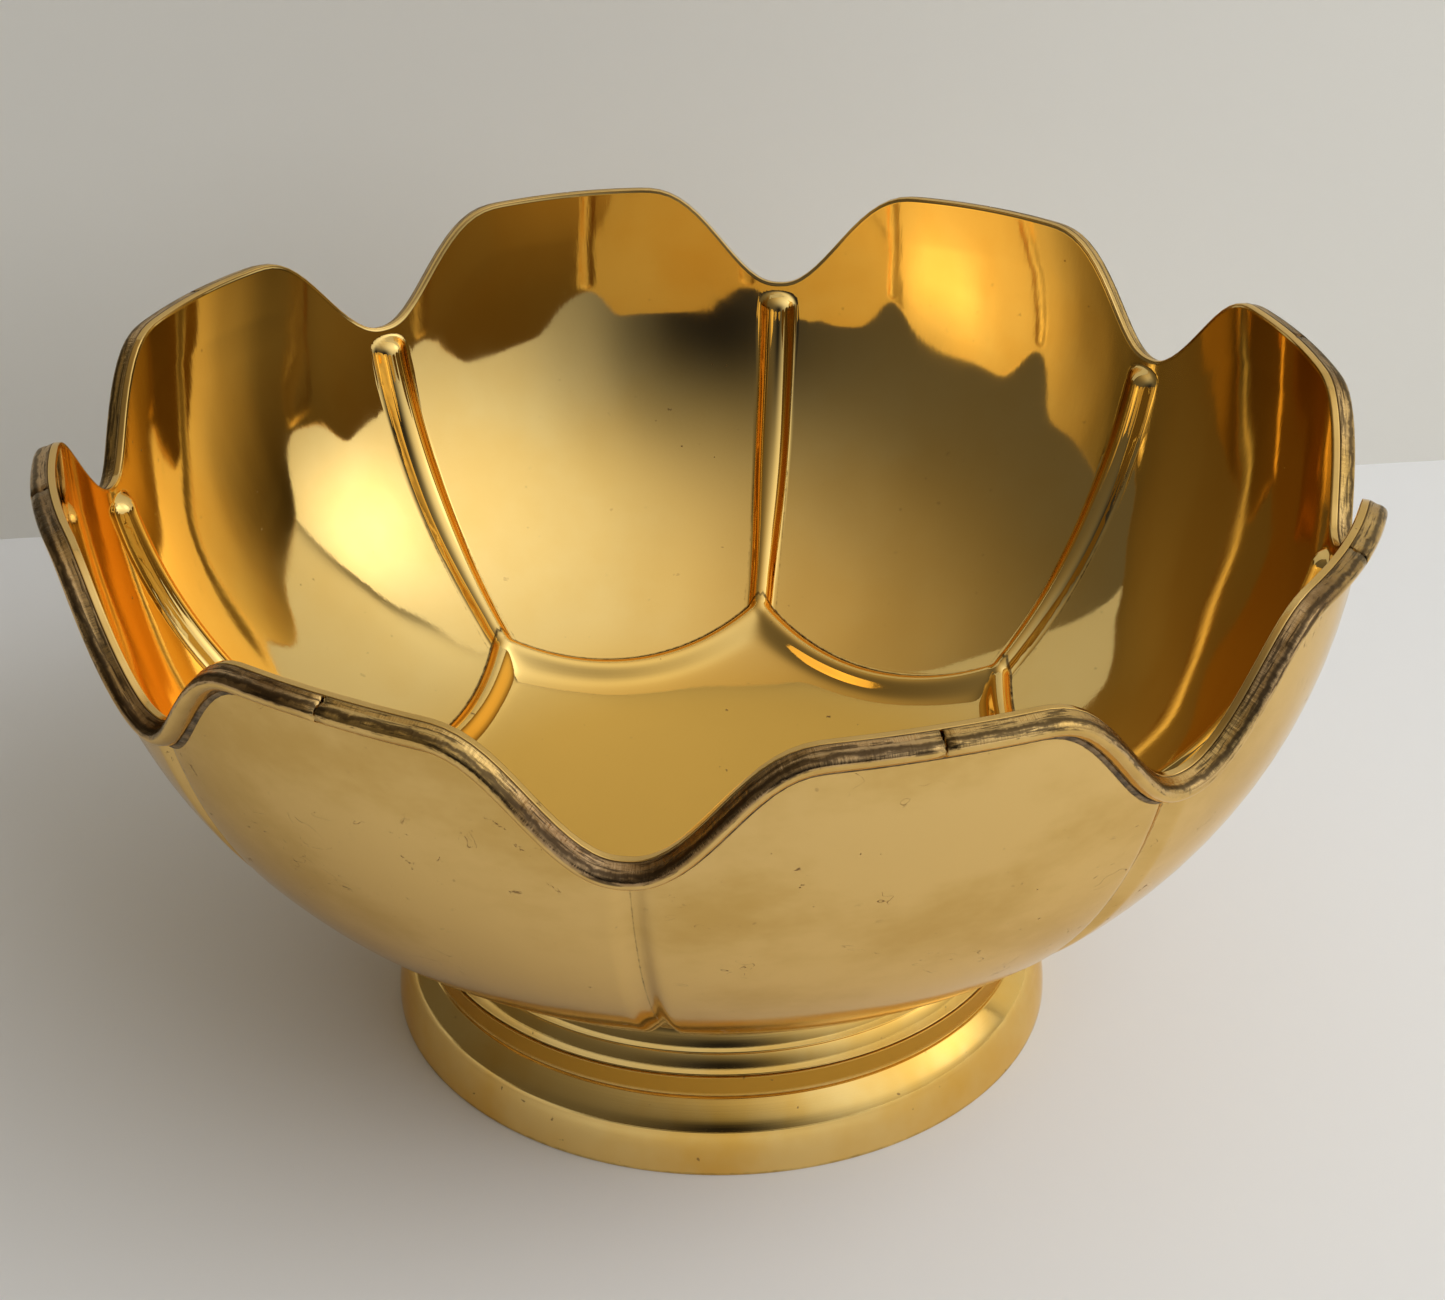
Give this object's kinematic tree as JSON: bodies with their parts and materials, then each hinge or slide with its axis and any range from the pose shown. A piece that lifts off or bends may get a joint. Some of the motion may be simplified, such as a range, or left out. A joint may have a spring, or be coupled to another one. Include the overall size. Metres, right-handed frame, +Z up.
{
  "type": "footed bowl",
  "caption": "Footed brass serving bowl: pressed petal lobes parted by ribs, scalloped edge with a soldered half-round moulding, and a spun ring foot.",
  "frame": {"origin": "centre of the foot's resting face, on the table", "axes": "+Z up along the bowl's axis; a notch of the edge faces -Y and the next ones follow every 45 degrees"},
  "size_m": [0.249, 0.249, 0.1291],
  "materials": {
    "brass_sheet": "mirror-polished yellow brass sheet with light patina, fine wipe scratches and small tarnish specks",
    "brass_moulding": "polished brass moulding, file marks and brown tarnish on its bevelled top",
    "brass_foot": "spun brass, polished in rings, dark tarnish in its grooves",
    "solder": "dull dark solder, tarnished brown"
  },
  "bodies": {
    "root": {"bowl_body": "brass_sheet", "rim_moulding_1": "brass_moulding", "rim_moulding_2": "brass_moulding", "rim_moulding_3": "brass_moulding", "rim_moulding_4": "brass_moulding", "rim_moulding_5": "brass_moulding", "rim_moulding_6": "brass_moulding", "rim_moulding_7": "brass_moulding", "rim_moulding_8": "brass_moulding", "rim_solder": "solder", "foot_ring": "brass_foot", "foot_solder": "solder"}
  },
  "joints": []
}
